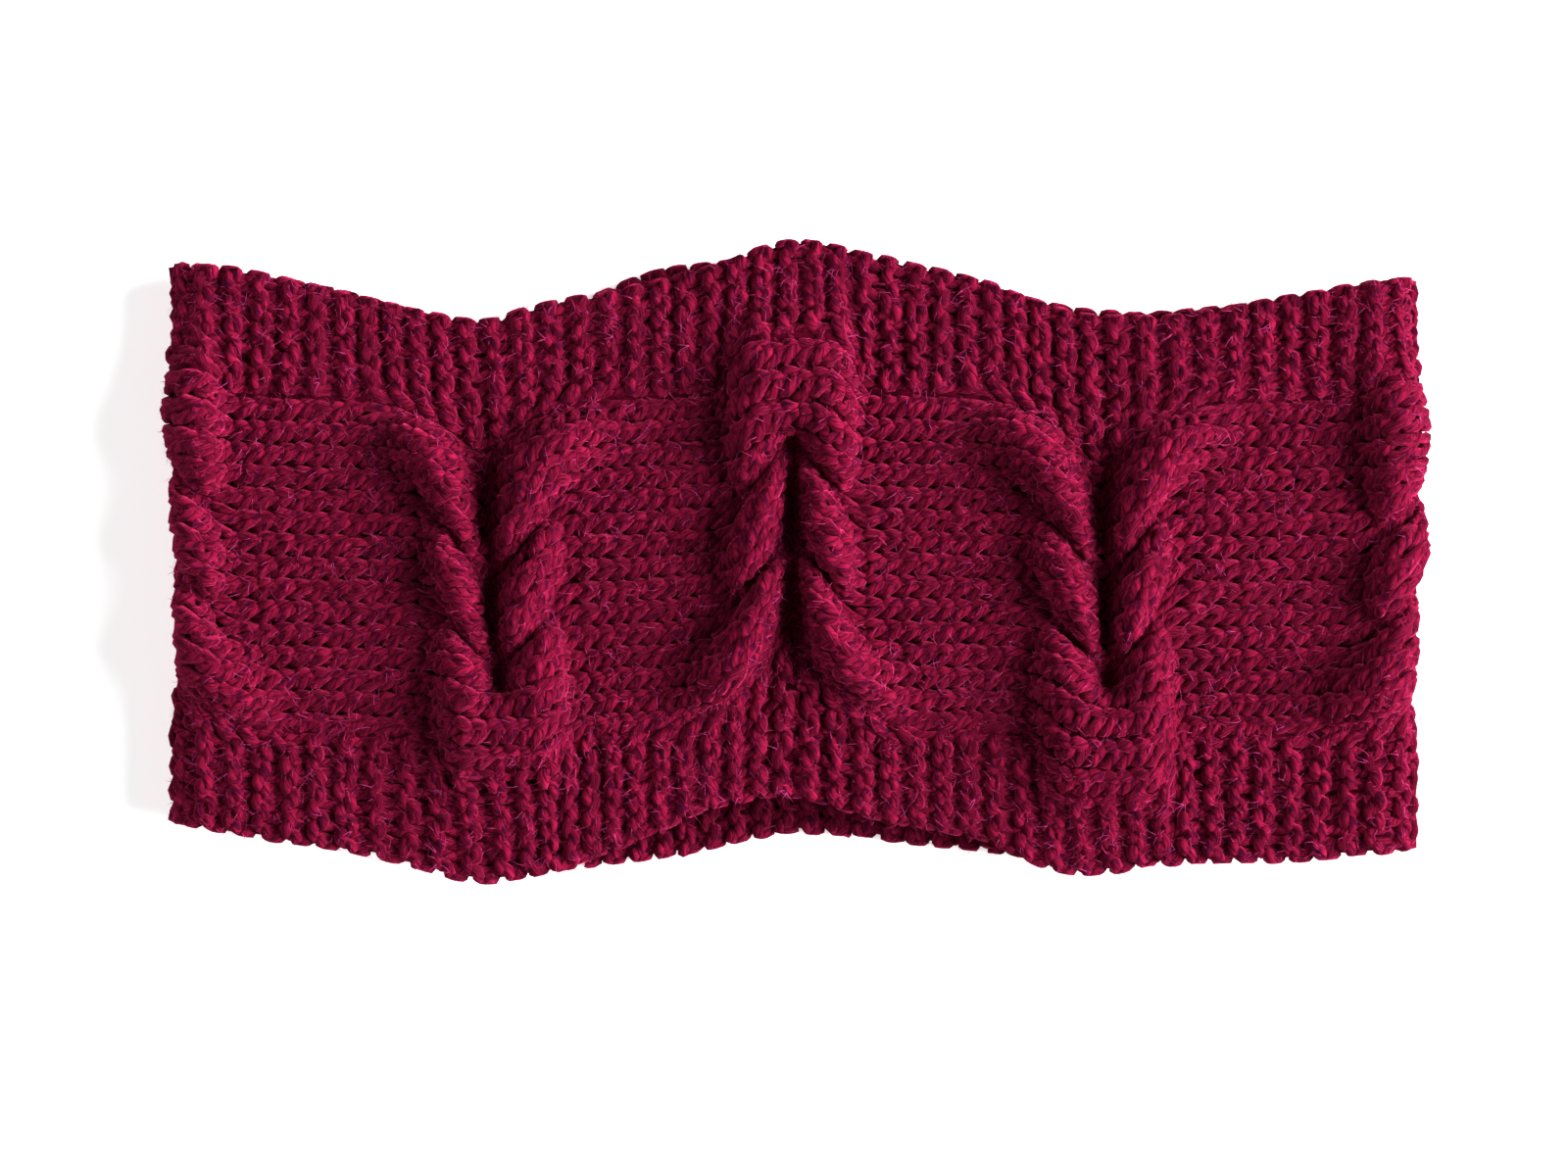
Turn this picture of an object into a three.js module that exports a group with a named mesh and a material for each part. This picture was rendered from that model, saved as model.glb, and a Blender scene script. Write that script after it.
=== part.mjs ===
// A wide knit headband, lying flat: one knitted loop pressed into two layers, with a ribbed garter border along each
// edge and a smooth panel between them that eight cables gather into tall pleated folds.
// Millimetres. X runs along the flattened loop, Y across the band, Z up. The origin is under the middle of the band.
import * as THREE from "three";

// Driving sizes of the whole band.
const flatLength = 240; // the flattened loop, from fold to fold
const wall = 3.4; // thickness of the knitted fabric
const innerGap = 5.6; // between the two layers
const restGap = 1.7; // how far the lower layer's plain stretches stay above the surface it lies on

// The knitting: rows follow one another round the loop, and stitches lie side by side across the band.
const panelStitches = 15;
const borderStitches = 5;
const borderWidth = 19.8;

// A cable is a bump with a crease down its middle. One end of it is closed, and the other opens to the border.
const cableHeight = 8.8;
const fabricRound = 1.6; // how much wider the outer face of a cable is than the middle of its fabric
const strandGroove = 0.88; // how deep the grooves between the strands are, 1 for down to the panel
const strandWidth = 0.92; // the raised share of a strand
const strandScallop = 0.27; // how far the outer ends stand out past the grooves, as a share of the width
const openEndReach = 27; // how far from the crease the strand at the open end starts
const flattenedHeight = 0.3; // share of its height that a cable keeps where it is lain on
const foldHeight = 0.2; // share of its height that a cable keeps right on a fold, where it is drawn tight
const hollowShare = 0.2; // share of a cable's height that its inside follows

// Along the flattened loop: where its edges are, seen from above.
const upperOutline = [
  { x: -119, top: 55.7, bottom: -47.7 },
  { x: -103, top: 54.2, bottom: -50.7 },
  { x: -79, top: 48.5, bottom: -54.6 },
  { x: -59, top: 44.8, bottom: -59.4 },
  { x: -46, top: 48.1, bottom: -57.4 },
  { x: -30, top: 50.9, bottom: -51.8 },
  { x: -13.7, top: 55.5, bottom: -45.1 },
  { x: 0, top: 59.7, bottom: -43.5 },
  { x: 15, top: 57, bottom: -47.4 },
  { x: 35, top: 52.3, bottom: -51.4 },
  { x: 52, top: 46.4, bottom: -57.9 },
  { x: 70, top: 45.5, bottom: -56 },
  { x: 92, top: 49, bottom: -55.5 },
  { x: 118, top: 53.3, bottom: -53.3 },
];
const lowerOutline = [
  { x: -119, top: 55.7, bottom: -47.7 },
  { x: -88, top: 51.4, bottom: -53.2 },
  { x: -56, top: 44, bottom: -58 },
  { x: -28, top: 52.9, bottom: -55.8 },
  { x: 0, top: 57.5, bottom: -50.7 },
  { x: 28, top: 53.8, bottom: -53.3 },
  { x: 59, top: 44.6, bottom: -56.6 },
  { x: 89, top: 48.8, bottom: -55.1 },
  { x: 118, top: 53.3, bottom: -53.3 },
];

// The cables, by where their creases are round the loop: over the upper layer and back under it. Its closed end is
// towards +Y where up is 1, lean shifts its +Y end sideways, and past is how far it passes its border line. before
// and after are the widths of its two sides, to the middle of the fabric.
const cables = [
  { layer: "fold", x: -117, up: 1, lean: 0, height: 1, past: 0, before: 12, after: 12 },
  { layer: "upper", x: -56.6, up: -1, lean: -4.5, height: 1, past: -3, before: 10.8, after: 13.6 },
  { layer: "upper", x: -0.3, up: 1, lean: 0.6, height: 1.05, past: 0.5, before: 11.4, after: 11.4 },
  { layer: "upper", x: 58.8, up: -1, lean: -2.4, height: 1, past: 5, before: 13.4, after: 11.4 },
  { layer: "fold", x: 117, up: 1, lean: 0, height: 1, past: 0, before: 12, after: 12 },
  { layer: "lower", x: 58.8, up: -1, lean: 0, height: 1, past: 0, before: 12, after: 12 },
  { layer: "lower", x: -0.3, up: 1, lean: 0, height: 1, past: 0, before: 12, after: 12 },
  { layer: "lower", x: -56.6, up: -1, lean: 0, height: 1, past: 0, before: 12, after: 12 },
];

// The two grooves that part the strands of a cable, in stitches from its open end, by where its closed end is.
const groovesUp = [6.1, 10.5];
const groovesDown = [5.4, 9.3];

// Half of a cable, cut straight across: out is the share of its half width, lift the share of its height. A strand
// stands steeply on the panel, and the last one runs out in a long slope at the open end.
const steepSide = [
  { out: 0, lift: 0.06 },
  { out: 0.12, lift: 0.5 },
  { out: 0.27, lift: 0.9 },
  { out: 0.5, lift: 1 },
  { out: 0.74, lift: 0.9 },
  { out: 0.92, lift: 0.56 },
  { out: 1.04, lift: 0.1 },
  { out: 1.25, lift: 0 },
];
const slopingSide = [
  { out: 0, lift: 0.06 },
  { out: 0.12, lift: 0.5 },
  { out: 0.27, lift: 0.9 },
  { out: 0.5, lift: 1 },
  { out: 0.76, lift: 0.9 },
  { out: 1.05, lift: 0.62 },
  { out: 1.45, lift: 0.3 },
  { out: 1.95, lift: 0 },
];
const closedEndLift = 0.93; // lift of the crease where the closed end covers it

// How finely the wall is cut into faces.
const upperSteps = [0, 0.07, 0.15, 0.24, 0.33, 0.41, 0.48, 0.55, 0.66, 0.82]; // from crease to next cable
const lowerSteps = [0, 0.13, 0.3, 0.45, 0.62, 0.8];
const outerStitches = [
  -5, -4, -3, -2, -1.2, -0.5, 0.2, 1, 1.9, 2.8, 3.7, 4.5, 5.1, 5.6, 6.1, 6.7, 7.5, 8.3, 9, 9.5, 10, 10.5, 11, 11.7, 12.5,
  13.3, 14.1, 14.9, 15.6, 16.3, 17.2, 18.1, 19, 20,
];
const innerStrips = 8;

const lerp = THREE.MathUtils.lerp;
const clamp = THREE.MathUtils.clamp;
const smoothstep = THREE.MathUtils.smoothstep;

// The loop's own middle line, in the X-Z plane: two straight runs and a half circle at each fold.
const lowerLevel = restGap + wall / 2;
const upperLevel = lowerLevel + wall + innerGap;
const foldRadius = (upperLevel - lowerLevel) / 2;
const foldPlace = flatLength / 2 - wall / 2 - foldRadius - 0.6;
const foldArc = Math.PI * foldRadius;
const layerLength = 2 * foldPlace + foldArc;

// The place on the middle line at a distance round the loop from the left fold, and the way out of the loop there.
function loopAt(distance) {
  const round = ((distance % (2 * layerLength)) + 2 * layerLength) % (2 * layerLength);
  const upper = round < layerLength;
  const along = upper ? round : round - layerLength;
  const side = upper ? 1 : -1;
  const midLevel = (upperLevel + lowerLevel) / 2;
  const straight = along - foldArc / 2;
  if (straight >= 0 && straight <= 2 * foldPlace) {
    const x = side * (straight - foldPlace);
    return { x, z: midLevel + side * foldRadius, outX: 0, outZ: side };
  }
  const end = straight < 0 ? -1 : 1;
  const past = straight < 0 ? -straight : straight - 2 * foldPlace;
  const turn = past / foldRadius;
  const outX = side * end * Math.sin(turn);
  const outZ = side * Math.cos(turn);
  return { x: side * end * foldPlace + foldRadius * outX, z: midLevel + foldRadius * outZ, outX, outZ };
}

// The distance round the loop of each cable's crease.
function cableDistance(cable) {
  if (cable.layer === "fold") return cable.x < 0 ? 0 : layerLength;
  const along = foldArc / 2 + foldPlace + (cable.layer === "upper" ? cable.x : -cable.x);
  return cable.layer === "upper" ? along : layerLength + along;
}

// A value between the rows of an outline table, along a smooth curve.
function outlineAt(table, column, x) {
  const last = table.length - 1;
  const place = clamp(x, table[0].x, table[last].x);
  const i = clamp(table.findIndex((row) => row.x > place) - 1, 0, last - 1);
  const row = (k) => table[clamp(k, 0, last)];
  const slope = (k) => {
    const a = row(k - 1);
    const b = row(k + 1);
    return (b[column] - a[column]) / (b.x - a.x);
  };
  const from = row(place >= table[last].x ? last - 1 : i);
  const k = table.indexOf(from);
  const to = row(k + 1);
  const span = to.x - from.x;
  const t = (place - from.x) / span;
  const t2 = t * t;
  const t3 = t2 * t;
  return (
    from[column] * (2 * t3 - 3 * t2 + 1) +
    slope(k) * span * (t3 - 2 * t2 + t) +
    to[column] * (3 * t2 - 2 * t3) +
    slope(k + 1) * span * (t3 - t2)
  );
}

// The band's edge over one layer or the other, easing from one to the other round the folds.
function edgeAt(column, place) {
  const share = clamp((place.outZ + 1) / 2, 0, 1);
  return lerp(outlineAt(lowerOutline, column, place.x), outlineAt(upperOutline, column, place.x), share);
}

// How far a stitch is gathered into the cable. Stitch 0 is where the panel's open end meets its border, and the closed
// end is at panelStitches.
function gatherOf(stitch) {
  return smoothstep(stitch, -0.9, 0.5) * (1 - smoothstep(stitch, panelStitches - 2.2, panelStitches + 2.2));
}

// How far a stitch is from the middle of its strand, from -1 to 1. The strand at the closed end has no far edge.
function offStrand(stitch, up) {
  const edges = [0, ...(up > 0 ? groovesUp : groovesDown), panelStitches + 1.5];
  const k = stitch < edges[1] ? 0 : stitch < edges[2] ? 1 : 2;
  const offCentre = clamp((2 * (stitch - edges[k])) / (edges[k + 1] - edges[k]) - 1, -1, 1);
  return k === 2 ? Math.min(offCentre, 0) : offCentre;
}

// How high its strand stands at a stitch, as a share of the cable's height.
function strandLift(stitch, up) {
  const offCentre = Math.min(Math.abs(offStrand(stitch, up)) / strandWidth, 1);
  return 1 - strandGroove + strandGroove * Math.sqrt(1 - 0.98 * offCentre * offCentre);
}

// The chevrons: how far a stitch is pulled along the band at the crease, towards the closed end.
function chevronRise(stitch) {
  const inPanel = clamp(stitch / panelStitches, 0, 1);
  const openBorder = smoothstep(stitch, -borderStitches, 0.5);
  const closedBorder = 1 - smoothstep(stitch, 10, panelStitches + 1);
  return lerp(7.8, 12.5, smoothstep(inPanel, 0, 0.3)) * openBorder * closedBorder;
}

// How far the closed end stands past its border line, as a share.
function closedShare(stitch) {
  return smoothstep(stitch, 8.4, panelStitches) * (1 - smoothstep(stitch, panelStitches, panelStitches + borderStitches));
}

// One cell of the loop: from a crease half way to the next cable, over one stitch of the band's width. It gives how
// far out from the crease and how high above the panel a share of the fabric between them lies. plainOut is how far
// out it would be without the grooves.
function cellAt(stitch, cable, side, halfCell, share) {
  const slope = smoothstep(-stitch, -6, -1.5);
  const covered = smoothstep(stitch, 9.6, 12.2);
  const gather = gatherOf(stitch);
  const width = (side > 0 ? cable.after : cable.before) + fabricRound;
  const off = Math.abs(offStrand(stitch, cable.up));
  const scallop = 1 - strandScallop * off ** 3 * smoothstep(stitch, -0.9, 0.5);
  const lifted = cableHeight * cable.height * strandLift(stitch, cable.up);
  const plainPoints = [];
  const points = [];
  steepSide.forEach((row, i) => {
    const out = lerp(row.out, slopingSide[i].out, slope) * width;
    const even = (i / steepSide.length) * halfCell * 0.8;
    const profile = lerp(row.lift, slopingSide[i].lift, slope);
    const filled = Math.max(profile, closedEndLift * covered * (row.out < 0.5 ? 1 : 0)) * lerp(0.05, 1, gather);
    const gathered = smoothstep(gather, 0, 0.5);
    const notch = lerp(1, scallop, smoothstep(row.out, 0.4, 0.8) * (row.out < 1.2 ? 1 : 0));
    plainPoints.push(new THREE.Vector3(lerp(even, out, gathered), filled * cableHeight * cable.height, 0));
    points.push(new THREE.Vector3(lerp(even, out * notch, gathered), filled * lifted, 0));
  });
  plainPoints.push(new THREE.Vector3(halfCell, 0, 0));
  points.push(new THREE.Vector3(halfCell, 0, 0));
  const plainCurve = new THREE.CatmullRomCurve3(plainPoints, false, "centripetal");
  plainCurve.arcLengthDivisions = 80;
  const t = plainCurve.getUtoTmapping(share);
  const at = new THREE.CatmullRomCurve3(points, false, "centripetal").getPoint(t);
  return { out: at.x, lift: at.y, plainOut: plainCurve.getPoint(t).x };
}

// Where a stitch lies across the band, at a place round the loop.
function acrossAt(place, stitch, up, pull) {
  const top = edgeAt("top", place);
  const bottom = edgeAt("bottom", place);
  const panelTop = top - borderWidth;
  const panelBottom = bottom + borderWidth;
  const fromBottom = up > 0 ? stitch : panelStitches - stitch;
  if (fromBottom < 0) return lerp(panelBottom, bottom, -fromBottom / borderStitches) + up * pull;
  if (fromBottom > panelStitches)
    return lerp(panelTop, top, (fromBottom - panelStitches) / borderStitches) + up * pull;
  const follow = 0.12 + 0.88 * Math.abs(fromBottom / (panelStitches / 2) - 1) ** 2.5;
  const share = fromBottom / panelStitches;
  const straight = lerp(plainPanel.bottom, plainPanel.top, share);
  return lerp(straight, lerp(panelBottom, panelTop, share), follow) + up * pull;
}
const plainPanel = { top: 31, bottom: -32 }; // the panel's edges half way between two cables

// The stations round the loop: each is a place in a half cell, with the cable it belongs to.
function makeStations() {
  const creases = cables.map(cableDistance);
  const stations = [];
  cables.forEach((cable, i) => {
    const here = creases[i];
    const next = (creases[(i + 1) % cables.length] + 2 * layerLength - here) % (2 * layerLength);
    const before = (here + 2 * layerLength - creases[(i + cables.length - 1) % cables.length]) % (2 * layerLength);
    const stepsOn = (side) => {
      if (cable.layer === "fold") return (cable.x < 0) === side > 0 ? upperSteps : lowerSteps;
      return cable.layer === "upper" ? upperSteps : lowerSteps;
    };
    const add = (side, share, halfCell) => stations.push({ cable, here, side, share, halfCell });
    const back = stepsOn(-1).slice(1).reverse();
    back.forEach((share) => add(-1, share, before / 2));
    stepsOn(1).forEach((share) => add(1, share, next / 2));
    add(1, 1, next / 2);
  });
  return stations;
}

// The outer face of the wall at a station, one stitch at a time.
function outerPoint(station, fromBottom) {
  const { cable, here, side, share, halfCell } = station;
  const stitch = cable.up > 0 ? fromBottom : panelStitches - fromBottom;
  const at = cellAt(stitch, cable, side, halfCell, share);
  const width = side > 0 ? cable.after : cable.before;
  const reach = lerp(1.12 * width, openEndReach, smoothstep(-stitch, -6, -1));
  const middle = (fromBottom - panelStitches / 2) / panelStitches;
  const leaning = cable.lean * middle * (1 - smoothstep(at.out, 0, halfCell));
  const place = loopAt(here + side * at.out + leaning);
  const lying = smoothstep(-place.outZ, -0.2, 0.6);
  const onFold = smoothstep(Math.abs(place.outX), 0, 1);
  const lift = at.lift * lerp(1, flattenedHeight, lying) * lerp(1, foldHeight, onFold);
  const chevron = chevronRise(stitch) * clamp(1 - at.out / reach, 0, 1) ** 1.25;
  const stands = cable.past * closedShare(stitch) * (1 - smoothstep(at.out, 0.6 * reach, 1.3 * reach));
  const y = acrossAt(place, stitch, cable.up, chevron + stands);
  const drop = lying * restGap * smoothstep(Math.abs(middle), 0.45, 0.65);
  const reachOut = wall / 2 + lift + drop;
  const z = place.z + place.outZ * reachOut;
  return new THREE.Vector3(place.x + place.outX * reachOut, y, Math.max(z, 0));
}

// The inner face: smooth, and hollowed a little behind each cable.
function innerPoint(station, across) {
  const { cable, here, side, share, halfCell } = station;
  const fromBottom = lerp(-borderStitches, panelStitches + borderStitches, across);
  const stitch = cable.up > 0 ? fromBottom : panelStitches - fromBottom;
  const width = side > 0 ? cable.after : cable.before;
  const out = cellAt(stitch, cable, side, halfCell, share).plainOut;
  const place = loopAt(here + side * out);
  const onStraight = smoothstep(Math.abs(place.outZ), 0.9, 1);
  const underCable = 1 - smoothstep(out, 0.2 * width, 1.2 * width);
  const inPanel = smoothstep(stitch, 0, 4) * (1 - smoothstep(stitch, 11, 17));
  const upper = smoothstep(place.outZ, 0, 1);
  const hollow = hollowShare * cableHeight * underCable * inPanel * onStraight * upper;
  const reachOut = -wall / 2 + hollow;
  const y = acrossAt(place, stitch, cable.up, 0);
  return new THREE.Vector3(place.x + place.outX * reachOut, y, place.z + place.outZ * reachOut);
}

// One closed wall: the outer faces, the inner faces, and a rim along each edge that joins them.
function makeBand() {
  const stations = makeStations();
  const outerStrips = outerStitches.length - 1;
  const positions = [];
  const index = [];
  const addRing = (pointAt) => {
    const first = positions.length / 3;
    stations.forEach((station) => positions.push(...pointAt(station).toArray()));
    return first;
  };
  const outerRings = outerStitches.map((stitch) => addRing((station) => outerPoint(station, stitch)));
  const innerRings = [];
  for (let j = 0; j <= innerStrips; j++) innerRings.push(addRing((station) => innerPoint(station, j / innerStrips)));
  const join = (low, high) => {
    stations.forEach((_, i) => {
      const next = (i + 1) % stations.length;
      index.push(low + i, low + next, high + next, low + i, high + next, high + i);
    });
  };
  for (let j = 0; j < outerStrips; j++) join(outerRings[j], outerRings[j + 1]);
  for (let j = 0; j < innerStrips; j++) join(innerRings[j + 1], innerRings[j]);
  join(innerRings[0], outerRings[0]);
  join(outerRings[outerStrips], innerRings[innerStrips]);
  const geometry = new THREE.BufferGeometry();
  geometry.setAttribute("position", new THREE.Float32BufferAttribute(positions, 3));
  geometry.setIndex(index);
  geometry.computeVertexNormals();
  return geometry;
}

const wool = new THREE.MeshStandardMaterial({ color: 0x8c1440, roughness: 0.95, metalness: 0 });
const band = new THREE.Mesh(makeBand(), wool);
band.name = "band";

const headband = new THREE.Group();
headband.add(band);
export default headband;
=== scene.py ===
import math
import bpy
import numpy as np
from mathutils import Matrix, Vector


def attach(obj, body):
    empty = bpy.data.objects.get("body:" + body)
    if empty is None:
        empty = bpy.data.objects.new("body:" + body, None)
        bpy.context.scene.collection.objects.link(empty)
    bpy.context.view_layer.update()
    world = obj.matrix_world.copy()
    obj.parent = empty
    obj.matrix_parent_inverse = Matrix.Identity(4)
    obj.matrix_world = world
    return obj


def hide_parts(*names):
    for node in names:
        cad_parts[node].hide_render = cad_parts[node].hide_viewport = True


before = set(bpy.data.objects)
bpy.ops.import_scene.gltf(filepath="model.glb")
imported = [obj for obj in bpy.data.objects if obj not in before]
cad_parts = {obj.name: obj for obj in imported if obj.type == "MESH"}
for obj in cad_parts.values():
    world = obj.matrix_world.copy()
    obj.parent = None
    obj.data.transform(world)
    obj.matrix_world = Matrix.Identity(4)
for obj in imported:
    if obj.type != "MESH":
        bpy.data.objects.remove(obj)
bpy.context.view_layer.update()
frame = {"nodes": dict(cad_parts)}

mm = 0.001
print("frame loaded:", ", ".join(frame["nodes"]))


# A socket by its name, or by its number among the sockets in use.
def pickSocket(sockets, name):
    enabled = [s for s in sockets if s.enabled]
    return enabled[name] if isinstance(name, int) else next(s for s in enabled if s.name == name)


# Node trees: a Wire is an output socket that takes part in sums, and a Graph adds the nodes.
class Wire:
    def __init__(self, graph, socket):
        self.graph = graph
        self.socket = socket

    def __add__(self, other):
        return self.graph.maths("ADD", self, other)

    def __radd__(self, other):
        return self.graph.maths("ADD", other, self)

    def __sub__(self, other):
        return self.graph.maths("SUBTRACT", self, other)

    def __rsub__(self, other):
        return self.graph.maths("SUBTRACT", other, self)

    def __mul__(self, other):
        return self.graph.maths("MULTIPLY", self, other)

    def __rmul__(self, other):
        return self.graph.maths("MULTIPLY", other, self)

    def __truediv__(self, other):
        return self.graph.maths("DIVIDE", self, other)

    def __rtruediv__(self, other):
        return self.graph.maths("DIVIDE", other, self)

    def __abs__(self):
        return self.graph.maths("ABSOLUTE", self)


class Outputs:
    def __init__(self, graph, node):
        self.graph = graph
        self.node = node

    def __getitem__(self, name):
        return Wire(self.graph, pickSocket(self.node.outputs, name))


class Graph:
    def __init__(self, tree):
        self.tree = tree

    def add(self, kind, settings=None, values=None):
        node = self.tree.nodes.new(kind)
        for name, value in (settings or {}).items():
            setattr(node, name, value)
        for name, value in (values or {}).items():
            socket = pickSocket(node.inputs, name)
            if isinstance(value, Wire):
                self.tree.links.new(value.socket, socket)
            else:
                socket.default_value = value
        return Outputs(self, node)

    def maths(self, operation, *values):
        return self.add("ShaderNodeMath", {"operation": operation}, dict(enumerate(values)))["Value"]


# The knitting, in millimetres. Rows follow one another round the loop, and stitches lie side by side across
# the band.
knitting = {
    "flatLength": 236,  # the flattened loop from fold to fold, without the yarn that stands out there
    "foldInset": 0.6,  # how far the middle of the fabric stays inside that at each fold
    "wall": 3.4,
    "innerGap": 5.6,  # between the two layers
    "restGap": 1.7,  # under the lower layer's plain stretches
    "restFrom": (0.45, 0.65),  # where that gap closes, in panel widths from the band's middle
    "lyingFrom": (-0.2, 0.6),  # how far a place faces down as the band comes to lie on it
    "panelStitches": 15,
    "borderStitches": 5,
    "borderWidth": 19.8,
    "rowsPerCable": 24,
    "panelTop": 31,  # the panel's edges half way between two cables
    "panelBottom": -32,
    "followEdge": 0.15,  # how far those edges go along with the edges of the band
}
halfStitch = 0.5
# How a cable's fabric lies. Stitches count from its open end, and out from its crease.
cableShape = {
    "height": 8.4,
    "gatherFrom": (-0.9, 0.5),  # between these stitches the fabric rises into the cable
    "gatherUntil": 2.2,  # it sinks again over this many stitches to both sides of the panel's far edge
    "plainLift": 0.05,  # share of the height that is left beyond
    "evenReach": 0.8,  # there the section's rows are spread over this share of the way to the next cable
    "evenUntil": 0.5,  # and only there: it ends at this share of the gathering
    "flattenedHeight": 0.3,  # share of its height where the band lies on it
    "strandGroove": 0.87,  # how deep the grooves between the three strands are, 1 for down to the panel
    "strandWidth": 0.76,  # the raised share of a strand
    "strandRound": 0.99,  # how steeply its sides fall, 1 for upright
    "strandSkew": 1,  # how many stitches a groove crosses from its outer end to the crease
    "skewFull": 3,  # the stitch at which the skew is whole
    "strandBunch": 0.5,  # how far the stitches crowd towards the grooves
    "bunchLift": (0.5, 4),  # it sets in between these heights over the panel
    "strandScallop": 0.34,  # how far the outer ends stand out past the grooves, as a share of the width
    "scallopFrom": (0.4, 0.8),  # between these shares of the width the scallops set in
    "scallopUntil": 1.2,
    "openEndReach": 25,  # how far from the crease the border is pulled in at the open end
    "openSlope": (1, 5),  # the open end's long slope is whole up to the first stitch and gone at the last
    "chevron": 13.5,  # how far the fabric between the ends is pulled towards the closed end
    "chevronReach": 1.12,  # how far out it is, in widths
    "chevronBend": 1.25,  # 1 for straight sides
    "chevronFull": 4.5,  # the stitch at which it is whole
    "chevronEnd": (8, 13.5),  # the stitches between which it fades out
    "capFrom": 8,  # the stitch from which the closed end's cap is pushed out
    "capGrows": (10, 14.5),  # the stitches between which the cap widens
    "capShoulder": (-0.3, 0.65),  # how wide its top is before and after that, in widths
    "capFoot": 1.3,  # and its foot
    "closedEndLift": 0.93,  # how high the fabric stands over the crease in the cap
    "capSoft": 1.2,  # the crease ends within this many stitches
    "foldSoft": 2,  # on a fold, the low part ends within this many stitches
}
# Round the loop, by their creases. The closed end is towards +Y where up is 1, and lean shifts the +Y end
# sideways. before and after are the widths of the two sides. past is how far the closed end passes its
# border line, openPull how far the border follows at the open end, and creaseEnd the stitch where the crease
# ends. A cable on a fold has its crease a little way under the fold. Out on the fold it keeps foldHeight of
# its height, and only openShare of that up to the stitch lowUntil.
cables = [
    {
        "layer": "fold", "x": -117, "up": 1, "lean": 0, "height": 1, "before": 12, "after": 12,
        "past": 5, "openPull": 11, "creaseEnd": 12,
        "under": 1.5, "foldHeight": 0.45, "openShare": 0.3, "lowUntil": 8.5,
    },
    {
        "layer": "upper", "x": -56.6, "up": -1, "lean": -4.5, "height": 1, "before": 10.8, "after": 12.8,
        "past": 5.5, "openPull": 10, "creaseEnd": 12.1,
    },
    {
        "layer": "upper", "x": -0.3, "up": 1, "lean": 0.6, "height": 1.05, "before": 11.4, "after": 11.4,
        "past": 10, "openPull": 17, "creaseEnd": 11.2,
    },
    {
        "layer": "upper", "x": 58.8, "up": -1, "lean": -2.4, "height": 1, "before": 12.8, "after": 11.4,
        "past": 10.5, "openPull": 12.3, "creaseEnd": 11.3,
    },
    {
        "layer": "fold", "x": 117, "up": 1, "lean": 0, "height": 1, "before": 12, "after": 12,
        "past": 3, "openPull": 7, "creaseEnd": 12, "grooves": (4.1, 8.1),
        "under": 2.5, "foldHeight": 0.55, "openShare": 0.55, "lowUntil": 4.5,
    },
    {
        "layer": "lower", "x": 58.8, "up": -1, "lean": 0, "height": 1, "before": 12, "after": 12,
        "past": 5, "openPull": 12, "creaseEnd": 12,
    },
    {
        "layer": "lower", "x": -0.3, "up": 1, "lean": 0, "height": 1, "before": 12, "after": 12,
        "past": 6.5, "openPull": 14, "creaseEnd": 12,
    },
    {
        "layer": "lower", "x": -56.6, "up": -1, "lean": 0, "height": 1, "before": 12, "after": 12,
        "past": 5, "openPull": 12, "creaseEnd": 12,
    },
]
# A cable's two grooves, by the stitches where they start at its outer side, and by its direction.
usualGrooves = {1: (4.9, 9.3), -1: (4.5, 8.6)}
upperOutline = [  # the band's edges over the upper layer
    {"x": -119, "top": 55.7, "bottom": -47.7},
    {"x": -103, "top": 54.2, "bottom": -50.7},
    {"x": -79, "top": 48.5, "bottom": -54.6},
    {"x": -59, "top": 44.8, "bottom": -59.4},
    {"x": -46, "top": 48.1, "bottom": -57.4},
    {"x": -30, "top": 50.9, "bottom": -51.8},
    {"x": -13.7, "top": 55.5, "bottom": -45.1},
    {"x": 0, "top": 59.7, "bottom": -43.5},
    {"x": 15, "top": 57, "bottom": -47.4},
    {"x": 35, "top": 52.3, "bottom": -51.4},
    {"x": 52, "top": 46.4, "bottom": -57.9},
    {"x": 70, "top": 45.5, "bottom": -56},
    {"x": 92, "top": 49, "bottom": -55.5},
    {"x": 118, "top": 53.3, "bottom": -53.3},
]
lowerOutline = [  # and over the lower one
    {"x": -119, "top": 55.7, "bottom": -47.7},
    {"x": -88, "top": 51.4, "bottom": -53.2},
    {"x": -56, "top": 44, "bottom": -58},
    {"x": -28, "top": 54.2, "bottom": -55.8},
    {"x": -18, "top": 56, "bottom": -54.2},
    {"x": 0, "top": 57.5, "bottom": -50.7},
    {"x": 28, "top": 53.8, "bottom": -53.3},
    {"x": 59, "top": 46.9, "bottom": -56.6},
    {"x": 89, "top": 48.8, "bottom": -55.1},
    {"x": 118, "top": 53.3, "bottom": -53.3},
]
# Half of a cable cut straight across, in shares of its width and height. The slope columns are for its
# open end.
cableSection = [
    {"out": 0, "lift": 0.02, "slopeOut": 0, "slopeLift": 0.02},
    {"out": 0.13, "lift": 0.06, "slopeOut": 0.2, "slopeLift": 0.05},
    {"out": 0.22, "lift": 0.52, "slopeOut": 0.34, "slopeLift": 0.38},
    {"out": 0.36, "lift": 0.88, "slopeOut": 0.52, "slopeLift": 0.8},
    {"out": 0.54, "lift": 1, "slopeOut": 0.78, "slopeLift": 0.97},
    {"out": 0.74, "lift": 0.9, "slopeOut": 1.1, "slopeLift": 0.92},
    {"out": 0.92, "lift": 0.57, "slopeOut": 1.4, "slopeLift": 0.72},
    {"out": 1, "lift": 0.23, "slopeOut": 1.68, "slopeLift": 0.46},
    {"out": 1.05, "lift": 0.03, "slopeOut": 1.95, "slopeLift": 0.2},
    {"out": 1.22, "lift": 0, "slopeOut": 2.25, "slopeLift": 0},
]
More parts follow.
